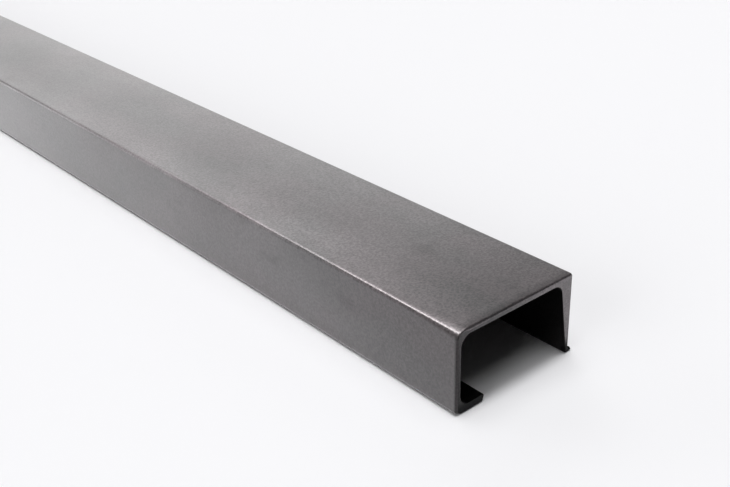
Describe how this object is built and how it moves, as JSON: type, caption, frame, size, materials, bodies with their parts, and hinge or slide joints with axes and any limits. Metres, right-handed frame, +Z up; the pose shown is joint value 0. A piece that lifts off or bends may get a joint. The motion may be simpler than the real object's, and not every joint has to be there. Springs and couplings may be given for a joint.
{
  "type": "aluminium extrusion profile",
  "caption": "Extruded aluminium channel with a lipped straight leg and a tapered leg ending in a small outward foot, cut square to length for frames, tracks and edge trim.",
  "frame": {"origin": "centre of the bounding box on the floor, under the middle of the stock", "axes": "+X across the section from the straight leg to the tapered leg, +Y along the stock, +Z up from the floor to the web"},
  "size_m": [0.0414, 1, 0.023],
  "materials": {
    "anodised_aluminium": "fine sandblasted and anodised dark grey, matte"
  },
  "bodies": {
    "root": {"channel_profile": "anodised_aluminium"}
  },
  "joints": []
}
